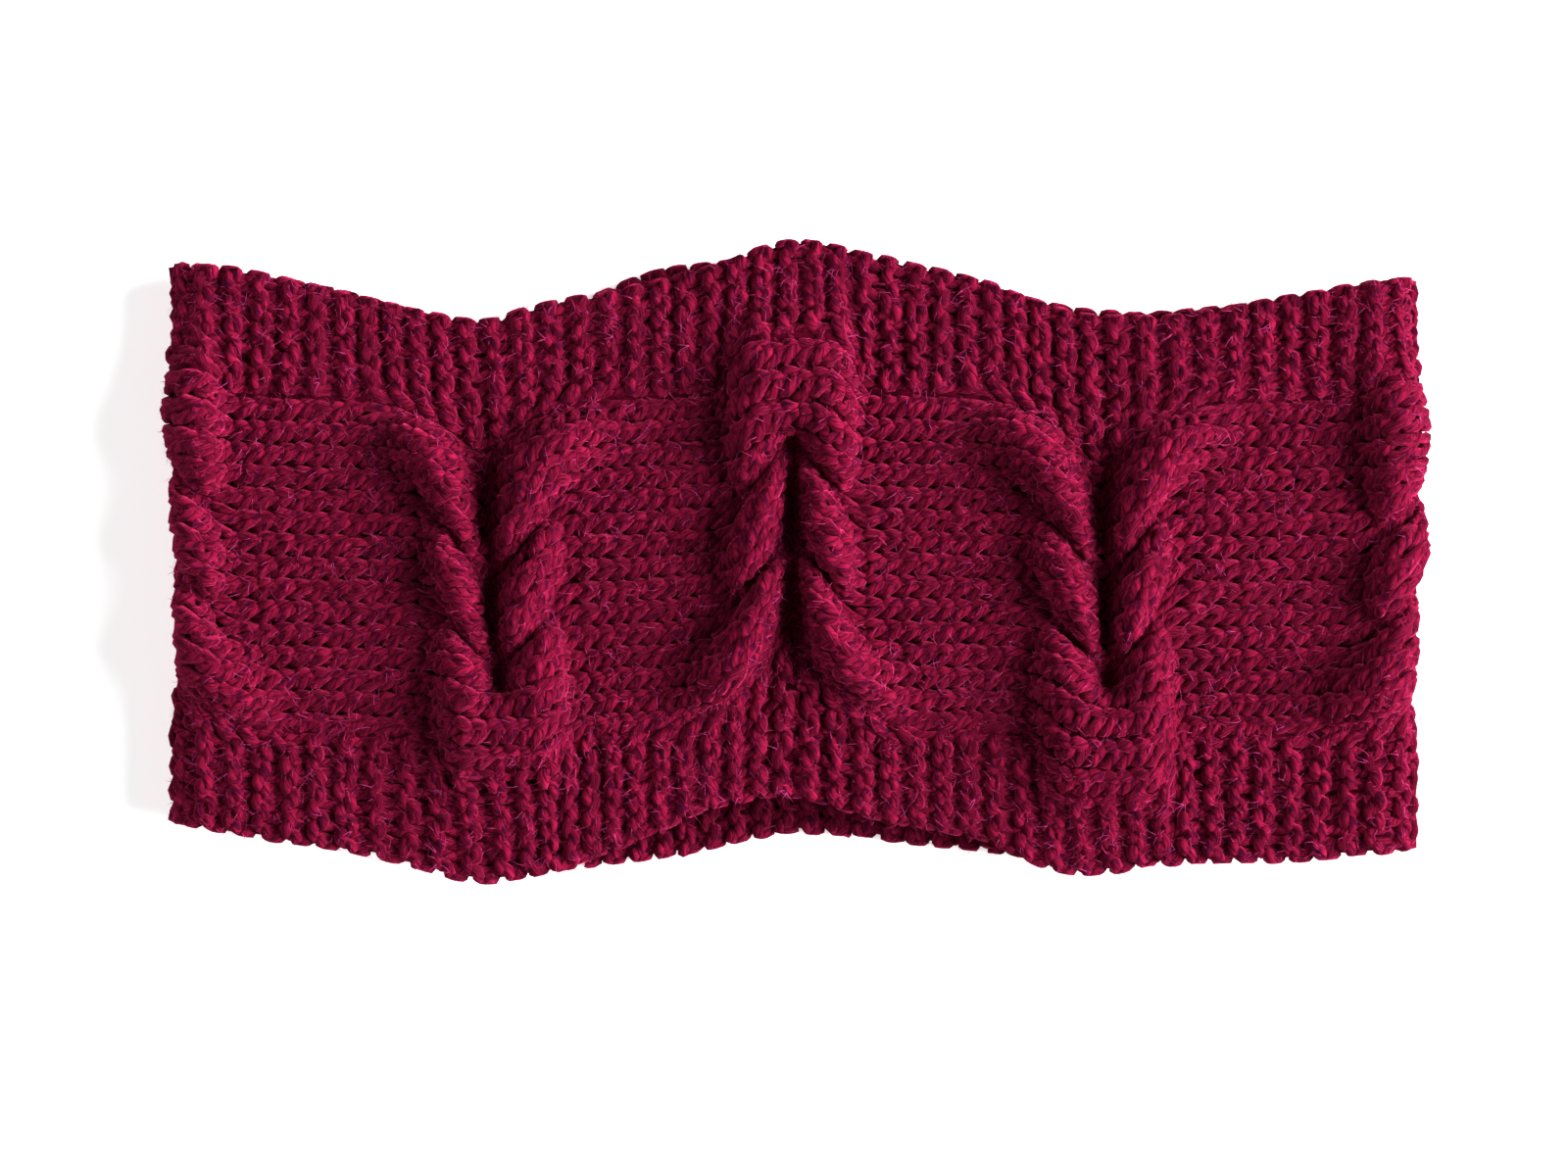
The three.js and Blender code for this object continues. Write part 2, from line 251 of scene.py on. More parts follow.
sectionSteps = 14  # points from one of its rows to the next
creaseSide = 0.5  # the cap covers the rows that are nearer the crease than this

lowerLevel = knitting["restGap"] + knitting["wall"] / 2
upperLevel = lowerLevel + knitting["wall"] + knitting["innerGap"]
foldRadius = (upperLevel - lowerLevel) / 2
foldPlace = knitting["flatLength"] / 2 - knitting["wall"] / 2 - foldRadius - knitting["foldInset"]
foldArc = math.pi * foldRadius
layerLength = 2 * foldPlace + foldArc
loopLength = 2 * layerLength


def ease(value, low, high):
    t = np.clip((value - low) / (high - low), 0, 1)
    return t * t * (3 - 2 * t)


def blend(a, b, share):
    return a + (b - a) * share


# The loop's middle line: the place at a distance round from the left fold, and the way out of the loop
# there.
def loopAt(distance):
    place = np.mod(distance, loopLength)
    side = np.where(place < layerLength, 1.0, -1.0)
    straight = np.where(side > 0, place, place - layerLength) - foldArc / 2
    end = np.where(straight < 0, -1.0, 1.0)
    turn = np.maximum(np.maximum(-straight, straight - 2 * foldPlace), 0) / foldRadius
    outX = side * end * np.sin(turn)
    outZ = side * np.cos(turn)
    onFold = turn > 0
    x = np.where(onFold, side * end * foldPlace + foldRadius * outX, side * (straight - foldPlace))
    z = (upperLevel + lowerLevel) / 2 + foldRadius * outZ
    return x, z, outX, outZ


def cableDistance(cable):
    if cable["layer"] == "fold":
        return -cable["under"] if cable["x"] < 0 else layerLength + cable["under"]
    if cable["layer"] == "upper":
        return foldArc / 2 + foldPlace + cable["x"]
    return layerLength + foldArc / 2 + foldPlace - cable["x"]


# A value between the rows of an outline table, along a smooth curve.
def outlineAt(table, column, x):
    places = np.array([row["x"] for row in table], float)
    values = np.array([row[column] for row in table], float)
    last = len(table) - 1
    before = np.maximum(np.arange(last + 1) - 1, 0)
    after = np.minimum(np.arange(last + 1) + 1, last)
    slopes = (values[after] - values[before]) / (places[after] - places[before])
    x = np.clip(x, places[0], places[-1])
    k = np.clip(np.searchsorted(places, x, side="right") - 1, 0, last - 1)
    span = places[k + 1] - places[k]
    t = (x - places[k]) / span
    return (
        values[k] * (2 * t**3 - 3 * t**2 + 1)
        + slopes[k] * span * (t**3 - 2 * t**2 + t)
        + values[k + 1] * (3 * t**2 - 2 * t**3)
        + slopes[k + 1] * span * (t**3 - t**2)
    )


# The band's edge at x, between the lower layer's and the upper layer's by the way out of the loop.
def edgeAt(column, x, outZ):
    share = np.clip((outZ + 1) / 2, 0, 1)
    return blend(outlineAt(lowerOutline, column, x), outlineAt(upperOutline, column, x), share)


# Which strand a stitch is in: the strand's first and last stitch, and how far from its middle, from -1 to 1.
# The last strand runs on into the cap, so it has no far side.
def strandOf(stitch, grooves):
    edges = np.array([0, *grooves, knitting["panelStitches"] + 3 * halfStitch])
    strand = np.clip(np.searchsorted(edges, stitch, side="right") - 1, 0, 2)
    first, last = edges[strand], edges[strand + 1]
    offCentre = np.clip(2 * (stitch - first) / (last - first) - 1, -1, 1)
    return first, last, np.where((strand == 2) & (offCentre > 0), 0, offCentre)


# How far a stitch is gathered into the cable.
def gatherOf(stitch):
    panel = knitting["panelStitches"]
    until = cableShape["gatherUntil"]
    return ease(stitch, *cableShape["gatherFrom"]) * (1 - ease(stitch, panel - until, panel + until))


# A groove starts nearer the open end outside, and runs towards the closed end on its way to the crease.
def skewAt(stitch, outShare):
    return cableShape["strandSkew"] * np.maximum(1 - outShare, 0) * ease(stitch, 0, cableShape["skewFull"])


# How high the strands stand at a stitch, as a share of the cable's height.
def strandLift(stitch, grooves):
    offCentre = np.minimum(np.abs(strandOf(stitch, grooves)[2]) / cableShape["strandWidth"], 1)
    groove = cableShape["strandGroove"]
    return 1 - groove + groove * np.sqrt(1 - cableShape["strandRound"] * offCentre**2)


# How far a stitch is pulled towards the closed end: in a wide curve at the open end, in a chevron between
# the ends, and out past the border's line in a round cap at the closed end.
def pullAt(cable, stitch, out, width):
    panel = knitting["panelStitches"]
    border = knitting["borderStitches"]
    curve = cable["openPull"] * np.clip(1 - out / cableShape["openEndReach"], 0, 1) ** 2
    pointed = np.clip(1 - out / (cableShape["chevronReach"] * width), 0, 1) ** cableShape["chevronBend"]
    between = blend(curve, cableShape["chevron"] * pointed, ease(stitch, 0, cableShape["chevronFull"]))
    pull = between * ease(stitch, -border, halfStitch) * (1 - ease(stitch, *cableShape["chevronEnd"]))
    rising = ease(stitch, cableShape["capFrom"], panel + halfStitch)
    nearEnd = rising * (1 - ease(stitch, panel, panel + border))
    narrow, wide = cableShape["capShoulder"]
    shoulder = blend(narrow, wide, ease(stitch, *cableShape["capGrows"]))
    return pull + cable["past"] * nearEnd * (1 - ease(out, shoulder * width, cableShape["capFoot"] * width))


# A centripetal spline through points[i], each an array of places side by side.
def throughPoints(points, steps):
    first = 2 * points[0] - points[1]
    last = 2 * points[-1] - points[-2]
    p = np.concatenate([[first], points, [last]])
    gap = np.sqrt(np.linalg.norm(np.diff(p, axis=0), axis=-1, keepdims=True)) + 1e-9
    samples = []
    t = np.linspace(0, 1, steps, endpoint=False)[:, None, None]
    for i in range(1, len(p) - 2):
        g0, g1, g2 = gap[i - 1], gap[i], gap[i + 1]
        a = ((p[i] - p[i - 1]) / g0 - (p[i + 1] - p[i - 1]) / (g0 + g1) + (p[i + 1] - p[i]) / g1) * g1
        b = ((p[i + 1] - p[i]) / g1 - (p[i + 2] - p[i]) / (g1 + g2) + (p[i + 2] - p[i + 1]) / g2) * g1
        rise = p[i + 1] - p[i]
        samples.append(p[i] + a * t + (3 * rise - 2 * a - b) * t**2 + (a + b - 2 * rise) * t**3)
    samples.append(p[-2][None])
    return np.concatenate(samples)


# From a crease half way to the next cable: how far out, and how high above the panel, each share of the
# fabric lies. The shares are measured along the section without its grooves, so that no rows crowd in them.
def cellCurves(stitch, cable, height, width, halfCell, shares):
    grooves = cable.get("grooves", usualGrooves[cable["up"]])
    slopeWhole, slopeGone = cableShape["openSlope"]
    slope = ease(-stitch, -slopeGone, -slopeWhole)
    soft = cableShape["capSoft"]
    covered = ease(stitch, cable["creaseEnd"] - soft, cable["creaseEnd"] + soft)
    gather = gatherOf(stitch)
    gathered = ease(gather, 0, cableShape["evenUntil"])
    offCentre = np.abs(strandOf(stitch, grooves)[2])
    scallop = 1 - cableShape["strandScallop"] * offCentre**3 * ease(stitch, *cableShape["gatherFrom"])
    points = []
    plainPoints = []
    for i, row in enumerate(cableSection):
        out = blend(row["out"], row["slopeOut"], slope) * width
        even = i / len(cableSection) * halfCell * cableShape["evenReach"]
        share = blend(row["lift"], row["slopeLift"], slope)
        if row["out"] < creaseSide:
            share = np.maximum(share, cableShape["closedEndLift"] * covered)
        plain = share * blend(cableShape["plainLift"], 1, gather) * height
        plainPoints.append(np.stack([blend(even, out, gathered), plain], axis=-1))
        onStrand = strandLift(stitch - skewAt(stitch, row["out"]), grooves)
        scalloped = ease(row["out"], *cableShape["scallopFrom"]) * (row["out"] < cableShape["scallopUntil"])
        out = out * blend(1, scallop, scalloped)
        points.append(np.stack([blend(even, out, gathered), plain * onStrand], axis=-1))
    last = np.stack([np.full_like(gather, halfCell), np.zeros_like(gather)], axis=-1)
    fine = throughPoints(np.array([*points, last]), sectionSteps)
    plainFine = throughPoints(np.array([*plainPoints, last]), sectionSteps)
    along = np.cumsum(np.linalg.norm(np.diff(plainFine, axis=0), axis=-1), axis=0)
    along = np.concatenate([np.zeros((1, along.shape[1])), along]) / along[-1]
    out = np.stack([np.interp(shares, along[:, k], fine[:, k, 0]) for k in range(len(stitch))], axis=1)
    lift = np.stack([np.interp(shares, along[:, k], fine[:, k, 1]) for k in range(len(stitch))], axis=1)
    return out, lift


# Where a stitch lies across the band.
def acrossAt(x, outZ, fromBottom, pull):
    panel = knitting["panelStitches"]
    border = knitting["borderStitches"]
    top = edgeAt("top", x, outZ)
    bottom = edgeAt("bottom", x, outZ)
    panelTop = blend(knitting["panelTop"], top - knitting["borderWidth"], knitting["followEdge"])
    panelBottom = blend(knitting["panelBottom"], bottom + knitting["borderWidth"], knitting["followEdge"])
    inside = blend(panelBottom, panelTop, fromBottom / panel)
    below = blend(panelBottom, bottom, -fromBottom / border)
    above = blend(panelTop, top, (fromBottom - panel) / border)
    return np.where(fromBottom < 0, below, np.where(fromBottom > panel, above, inside)) + pull


# The middle of the fabric as a fine net, with finePerRow points to a row and finePerStitch to a stitch.
finePerRow = 8
finePerStitch = 8
spareStitches = 1  # the net runs on past both edges by this
softSpread = 2  # how many of its points it is evened out over


# The net from a cable's crease half way to its neighbour: the next cable for side 1, the one before for -1.
def halfCellNet(index, side):
    cable = cables[index]
    neighbour = cables[(index + side) % len(cables)]
    here = cableDistance(cable)
    halfCell = np.mod(side * (cableDistance(neighbour) - here), loopLength) / 2
    panel = knitting["panelStitches"]
    border = knitting["borderStitches"]
    fromBottom = np.arange(0, (panel + 2 * border) * finePerStitch + 1) / finePerStitch - border
    stitch = fromBottom if cable["up"] > 0 else panel - fromBottom
    halfRows = knitting["rowsPerCable"] / 2 * finePerRow
    shares = np.arange(0, halfRows + 1) / halfRows
    width = cable["after"] if side > 0 else cable["before"]
    height = cableShape["height"] * cable["height"]
    out, up = cellCurves(stitch, cable, height, width, halfCell, shares)
    middle = (fromBottom - panel / 2) / panel
    leaning = cable["lean"] * middle * (1 - ease(out, 0, halfCell))
    x, z, outX, outZ = loopAt(here + side * out + leaning)
    lying = ease(-outZ, *knitting["lyingFrom"])
    lift = up * blend(1, cableShape["flattenedHeight"], lying)
    if cable["layer"] == "fold":
        soft = cableShape["foldSoft"]
        past = ease(stitch, cable["lowUntil"] - soft, cable["lowUntil"] + soft)
        kept = cable["foldHeight"] * blend(cable["openShare"], 1, past)
        lift = lift * blend(1, kept, ease(np.abs(outX), 0, 1))
    pull = pullAt(cable, stitch, out, width)
    grooves = cable.get("grooves", usualGrooves[cable["up"]])
    first, last, offCentre = strandOf(stitch - skewAt(stitch, out / width), grooves)
    onStrand = ease(up, *cableShape["bunchLift"]) * cableShape["strandBunch"]
    bunched = stitch + onStrand * (np.sin(offCentre * math.pi / 2) - offCentre) * (last - first) / 2
    y = acrossAt(x, outZ, bunched if cable["up"] > 0 else panel - bunched, cable["up"] * pull)
    lift = lift + lying * knitting["restGap"] * ease(np.abs(middle), *knitting["restFrom"])
    level = np.maximum(z + outZ * lift, knitting["wall"] / 2)
    net = np.stack([x + outX * lift, y, level], axis=-1)
    return net if side > 0 else net[::-1]


# A net evened out both ways. It is closed along the rows, and runs straight on past its edges along the
# stitches.
def softened(net):
    reach = 3 * softSpread
    weights = np.exp(-0.5 * (np.arange(-reach, reach + 1) / softSpread) ** 2)
    weights /= weights.sum()
    for axis in (0, 1):
        if axis == 0:
            padded = np.concatenate([net[-reach:], net, net[:reach]])
        else:
            low = 2 * net[:, :1] - net[:, reach:0:-1]
            high = 2 * net[:, -1:] - net[:, -2 : -reach - 2 : -1]
            padded = np.concatenate([low, net, high], axis=1)
        places = np.arange(net.shape[axis])
        net = sum(weight * np.take(padded, places + i, axis=axis) for i, weight in enumerate(weights))
    return net


def makeNet():
    cells = []
    for index in range(len(cables)):
        cells.append(halfCellNet(index, 1)[:-1])
        cells.append(halfCellNet((index + 1) % len(cables), -1)[:-1])
    net = softened(np.concatenate(cells))
    spare = spareStitches * finePerStitch
    low = net[:, :1] + (net[:, :1] - net[:, 1:2]) * np.arange(spare, 0, -1)[None, :, None]
    high = net[:, -1:] + (net[:, -1:] - net[:, -2:-1]) * np.arange(1, spare + 1)[None, :, None]
    return np.concatenate([low, net, high], axis=1)


def makeNormals():
    alongRows = np.roll(net, -1, axis=0) - np.roll(net, 1, axis=0)
    normal = np.cross(alongRows, np.gradient(net, axis=1))
    normal /= np.linalg.norm(normal, axis=-1, keepdims=True) + 1e-12
    normal = softened(normal)
    return normal / np.linalg.norm(normal, axis=-1, keepdims=True)


net = makeNet()
netNormal = makeNormals()
rowCount = len(net) // finePerRow
stitchCount = (net.shape[1] - 1) // finePerStitch - 2 * spareStitches
print("net of", rowCount, "rows by", stitchCount, "stitches")


# A net's value at any row and stitch.
def fromNet(table, row, stitch):
    i = np.mod(row * finePerRow, len(table))
    last = table.shape[1] - 1.001  # just short of the last point
    j = np.clip((stitch + spareStitches) * finePerStitch, 0, last)
    i0 = np.floor(i).astype(int) % len(table)
    j0 = np.floor(j).astype(int)
    fi = (i - np.floor(i))[..., None]
    fj = (j - j0)[..., None]
    i1 = (i0 + 1) % len(table)
    near = blend(table[i0, j0], table[i0, j0 + 1], fj)
    far = blend(table[i1, j0], table[i1, j0 + 1], fj)
    return blend(near, far, fi)


# The yarn: one course of loops for each row, joined at the edges as the needles turn.
yarn = {
    "radius": 1.03,
    "sides": 6,
    "stepsPerStitch": 12,
    "pieces": [
        "foldLeftUpper", "middleUpper", "foldRightUpper",
        "foldRightLower", "middleLower", "foldLeftLower",
    ],
    "panelReach": 0.92,  # half a loop's length, in rows
    "panelSway": 0.27,  # how far the loop's legs swing, in stitches
    "panelLean": 0.2,  # how far its head is off to one side, in stitches per row
    "panelDepth": 0.85,  # how far it goes in front and behind, in millimetres
    "columnDepth": 1.2,  # how far the yarn dips between two columns of stitches
    "columnPinch": 0.125,  # how far a stitch's legs draw together
    "ridgeReach": 0.8,  # the same for the borders' ridges
    "ridgeSway": 0.14,
    "ridgeDepth": 1.1,
    "ridgeSquare": 0.6,  # less than 1 makes a ridge's loops squarer
    "ridgeSharp": 1.7,  # more than 1 makes their fronts shorter
    "edgeBulge": 0.03,  # how far the turn at each edge stands out, in stitches
    "edgeReach": 0.1,  # how far it runs on past its two rows
    "turnPoints": (0.1, 0.35, 0.65, 0.9),
    "uneven": 0.055,  # how far the loops are off their places, in rows and stitches
    "borderUneven": 0.115,
    "edgeUneven": 0.3,  # the share of that which is left right at the edges
    "turnUneven": 0.03,
    "depthUneven": 0.09,
    "lowest": 1.35,  # the middle of the yarn stays this many radii above the floor
    "raisedThicker": 0.2,  # how much thicker the yarn is on top of the cables
    "raisedFrom": (2, 6),  # between these heights over the upper layer
    "borderThicker": 0.11,
    "borderSoft": 0.3,  # it gets thicker over this many stitches to both sides of the panel's edge
    "lumpSpacing": 4,  # thick and thin places along the yarn
    "lumps": 0.07,
    "seed": 7,
}
dice = np.random.default_rng(yarn["seed"])
inBorder = np.abs(np.arange(stitchCount + 1) - stitchCount / 2) > knitting["panelStitches"] / 2
uneven = np.where(inBorder, yarn["borderUneven"], yarn["uneven"])
rowShift = dice.normal(0, 1, (rowCount, stitchCount + 1)) * uneven
stitchShift = dice.normal(0, 1, (rowCount, stitchCount + 1)) * uneven
stitchShift[:, [0, -1]] *= yarn["edgeUneven"]
edgeShift = dice.normal(0, yarn["turnUneven"], (rowCount, 2))
depthShift = dice.normal(0, yarn["depthUneven"], (rowCount, stitchCount + 1))


# One course: the rows and stitches that it passes, and how far it is in front of the fabric's middle.
def course(row):
    t = np.arange(0, stitchCount * yarn["stepsPerStitch"] + 1) / yarn["stepsPerStitch"]
    start = knitting["borderStitches"]
    end = stitchCount - start
    pastStart = ease(t, start - halfStitch, start + halfStitch)
    inPanel = pastStart * (1 - ease(t, end - halfStitch, end + halfStitch))
    places = np.arange(stitchCount + 1)
    wave = 2 * math.pi * t
    side = 1 if row % 2 else -1
    sway = blend(yarn["ridgeSway"], yarn["panelSway"], inPanel)
    sign = np.sign(np.cos(wave))
    size = np.abs(np.cos(wave))
    # the loops open to the left on the upper layer
    ridgeForward = yarn["ridgeReach"] * sign * size ** yarn["ridgeSquare"]
    forward = blend(ridgeForward, yarn["panelReach"] * np.cos(wave), inPanel)
    rows = row + forward + np.interp(t, places, rowShift[row])
    lean = yarn["panelLean"] * inPanel
    drawnIn = yarn["columnPinch"] * inPanel * np.sin(wave)
    swung = t + sway * np.sin(2 * wave) + drawnIn + lean * forward
    stitches = swung + np.interp(t, places, stitchShift[row])
    betweenColumns = inPanel * (1 + np.cos(wave)) / 2
    panelDepth = -yarn["panelDepth"] * np.cos(2 * wave) - yarn["columnDepth"] * betweenColumns
    ridgeDepth = side * yarn["ridgeDepth"] * sign * size ** yarn["ridgeSharp"]
    depth = blend(ridgeDepth, panelDepth, inPanel) + np.interp(t, places, depthShift[row])
    return rows, stitches, depth


# The turn from one course to the next, at the last stitch where atEnd is true and otherwise at the first.
def turnAt(row, atEnd):
    bulge = yarn["edgeBulge"] + edgeShift[row, int(atEnd)]
    out = bulge if atEnd else -bulge
    base = stitchCount if atEnd else 0
    share = np.array(yarn["turnPoints"])
    rows = row + yarn["ridgeReach"] + blend(-yarn["edgeReach"], 1 + yarn["edgeReach"], share)
    stitches = base + out * np.sin(math.pi * share)
    return rows, stitches, np.zeros(len(share))


# The whole line of yarn for some rows, up the first course and down the next.
def yarnLine(firstRow, rowsHere):
    parts = []
    for row in range(firstRow, firstRow + rowsHere):
        upward = (row - firstRow) % 2 == 0
        line = course(row)
        parts.append(line if upward else tuple(a[::-1] for a in line))
        parts.append(turnAt(row, upward))
    return tuple(np.concatenate(a) for a in zip(*parts))


def placed(rows, stitches, depth):
    points = fromNet(net, rows, stitches) + fromNet(netNormal, rows, stitches) * depth[:, None]
    points[:, 2] = np.maximum(points[:, 2], yarn["radius"] * yarn["lowest"])
    return points


# The line as a mesh of edges, with its length so far and how thick the yarn is at each point.
def yarnPath(name, points, stitches):
    mesh = bpy.data.meshes.new(name)
    mesh.vertices.add(len(points))
    mesh.vertices.foreach_set("co", (points * mm).astype(np.float32).ravel())
    mesh.edges.add(len(points) - 1)
    pairs = np.stack([np.arange(len(points) - 1), np.arange(1, len(points))], axis=1)
    mesh.edges.foreach_set("vertices", pairs.astype(np.int32).ravel())
    along = np.concatenate([[0], np.cumsum(np.linalg.norm(np.diff(points, axis=0), axis=1))])
    mesh.attributes.new("along", "FLOAT", "POINT").data.foreach_set("value", along.astype(np.float32))
    raisedLow, raisedHigh = yarn["raisedFrom"]
    raised = yarn["raisedThicker"] * ease(points[:, 2], upperLevel + raisedLow, upperLevel + raisedHigh)
    panelEdge = knitting["panelStitches"] / 2
    fromMiddle = np.abs(stitches - stitchCount / 2)
    bulky = ease(fromMiddle, panelEdge - yarn["borderSoft"], panelEdge + yarn["borderSoft"])
    spacing = yarn["lumpSpacing"]
    places = np.arange(0, along[-1] + spacing, spacing)
    lumps = np.interp(along, places, dice.normal(0, 1, int(along[-1] // spacing) + 2))
    thick = 1 + raised + yarn["borderThicker"] * bulky + yarn["lumps"] * lumps
    mesh.attributes.new("thick", "FLOAT", "POINT").data.foreach_set("value", thick.astype(np.float32))
    mesh.update()
    piece = bpy.data.objects.new(name, mesh)
    bpy.context.scene.collection.objects.link(piece)
    return piece


def vector(graph, **parts):
    return graph.add("ShaderNodeCombineXYZ", None, parts)["Vector"]


def newTree(name, inputs):
    tree = bpy.data.node_groups.new(name, "GeometryNodeTree")
    tree.interface.new_socket("Geometry", in_out="INPUT", socket_type="NodeSocketGeometry")
    for label, kind in inputs.items():
        tree.interface.new_socket(label, in_out="INPUT", socket_type=kind)
    tree.interface.new_socket("Geometry", in_out="OUTPUT", socket_type="NodeSocketGeometry")
    graph = Graph(tree)
    return graph, graph.add("NodeGroupInput")


# Turns a line into a round strand, with a UV map that runs round and along it (in millimetres).
def makeStrandTree():
    inputs = {"Radius": "NodeSocketFloat", "Sides": "NodeSocketInt", "Material": "NodeSocketMaterial"}
    graph, given = newTree("strand", inputs)
    line = graph.add("GeometryNodeMeshToCurve", None, {"Mesh": given["Geometry"]})["Curve"]
    circle = {"Resolution": given["Sides"], "Radius": 1.0}
    ring = graph.add("GeometryNodeCurvePrimitiveCircle", None, circle)["Curve"]
    index = graph.add("GeometryNodeInputIndex")["Index"]
    around = index / given["Sides"]
    ring = graph.add(
        "GeometryNodeStoreNamedAttribute",
        {"data_type": "FLOAT", "domain": "POINT"},
        {"Geometry": ring, "Name": "around", "Value": around},
    )["Geometry"]
    number = {"data_type": "FLOAT"}
    thick = graph.add("GeometryNodeInputNamedAttribute", number, {"Name": "thick"})["Attribute"]
    tube = graph.add(
        "GeometryNodeCurveToMesh",
        None,
        {"Curve": line, "Profile Curve": ring, "Scale": thick * given["Radius"], "Fill Caps": True},
    )["Mesh"]
    share = graph.add("GeometryNodeInputNamedAttribute", number, {"Name": "around"})["Attribute"]
    along = graph.add("GeometryNodeInputNamedAttribute", number, {"Name": "along"})["Attribute"]
    angle = share * (2 * math.pi)
    # a corner takes the share that is nearest its face's, so that no face runs back round the strand
    onFace = {"domain": "FACE", "data_type": "FLOAT"}
    cosine = graph.add("GeometryNodeFieldOnDomain", onFace, {"Value": graph.maths("COSINE", angle)})["Value"]
    sine = graph.add("GeometryNodeFieldOnDomain", onFace, {"Value": graph.maths("SINE", angle)})["Value"]
    faceShare = graph.maths("ARCTAN2", sine, cosine) / (2 * math.pi)
    unrolled = faceShare + graph.maths("WRAP", share - faceShare, 0.5, -0.5)
    tube = graph.add(
        "GeometryNodeStoreNamedAttribute",
        {"data_type": "FLOAT2", "domain": "CORNER"},
        {"Geometry": tube, "Name": "strandUv", "Value": vector(graph, X=unrolled, Y=along)},
    )["Geometry"]
    tube = graph.add("GeometryNodeSetShadeSmooth", None, {"Geometry": tube})["Geometry"]
    tube = graph.add("GeometryNodeRealizeInstances", None, {"Geometry": tube})["Geometry"]
    dressed = {"Geometry": tube, "Material": given["Material"]}
    tube = graph.add("GeometryNodeSetMaterial", None, dressed)["Geometry"]
    graph.add("NodeGroupOutput", None, {"Geometry": tube})
    return graph.tree


def applyTree(piece, tree, values):
    modifier = piece.modifiers.new(tree.name, "NODES")
    modifier.node_group = tree
    for item in tree.interface.items_tree:
        if item.item_type == "SOCKET" and item.in_out == "INPUT" and item.name in values:
            modifier[item.identifier] = values[item.name]
    bpy.context.view_layer.update()
    evaluated = piece.evaluated_get(bpy.context.evaluated_depsgraph_get())
    mesh = bpy.data.meshes.new_from_object(evaluated)
    piece.modifiers.remove(modifier)
    old = piece.data
    piece.data = mesh
    mesh.name = piece.name
    bpy.data.meshes.remove(old)
    return piece


woolFinish = {
    "deep": (0.03, 0.0008, 0.009, 1),  # painted shade down between the plies
    "body": (0.085, 0.0017, 0.017, 1),
    "bright": (0.42, 0.018, 0.086, 1),
    "plum": (0.05, 0.0034, 0.028, 1),  # the flecks
    "plies": 3,
    "plyTurn": 6.5,  # millimetres of yarn for one turn of its plies
    "plyGroove": 0.5,  # below this share of its roundness a ply takes painted shade towards its groove
    "grooveDark": 0.75,  # and how strong that painted shade is
    "fibreRound": 2.2,  # how fast the fibres' noise changes round the yarn, and along it
    "fibreAlong": 0.35,
    "fibreScale": 2.4,
    "heatherRound": 0.25,  # the same for the light and dark stretches
    "heatherAlong": 0.3,
    "heatherScale": 1.0,
    "fibreShare": 0.55,
    "heatherShare": 0.45,
    "toneRange": (0.38, 0.64),  # from body to bright
    "fleckRound": 0.5,
    "fleckAlong": 0.4,
    "fleckScale": 1.7,
    "fleckRange": (0.5, 0.66),
    "fleckStrength": 0.75,
    "plyRelief": 0.3,
    "fibreRelief": 0.7,
    "reliefDepth": 0.4,  # in millimetres
    "roughness": 0.95,
    "specular": 0.05,
}
woolSheen = {"Sheen Weight": 1.0, "Sheen Roughness": 0.3, "Sheen Tint": (1, 0.08, 0.26, 1)}


def mixed(graph, share, first, second):
    values = {"Factor": share, "A": first, "B": second}
    return graph.add("ShaderNodeMix", {"data_type": "RGBA"}, values)["Result"]


def ranged(graph, value, low, high, toLow=0.0, toHigh=1.0):
    return graph.add("ShaderNodeMapRange", None, {0: value, 1: low, 2: high, 3: toLow, 4: toHigh})["Result"]


def noise(graph, place, scale, detail):
    values = {"Vector": place, "Scale": scale, "Detail": detail}
    return graph.add("ShaderNodeTexNoise", None, values)["Fac"]


def newMaterial(name):
    material = bpy.data.materials.new(name)
    material.use_nodes = True
    material.node_tree.nodes.clear()
    return material, Graph(material.node_tree)


# Ends a material: matt wool of this colour and relief.
def finishWool(graph, colour, relief, strength, depth, sheen):
    raised = {"Height": relief, "Strength": strength, "Distance": depth * mm}
    values = {
        "Base Color": colour,
        "Roughness": woolFinish["roughness"],
        "Specular IOR Level": woolFinish["specular"],
        "Normal": graph.add("ShaderNodeBump", None, raised)["Normal"],
        **sheen,
    }
    shader = graph.add("ShaderNodeBsdfPrincipled", None, values)["BSDF"]
    graph.add("ShaderNodeOutputMaterial", None, {"Surface": shader})
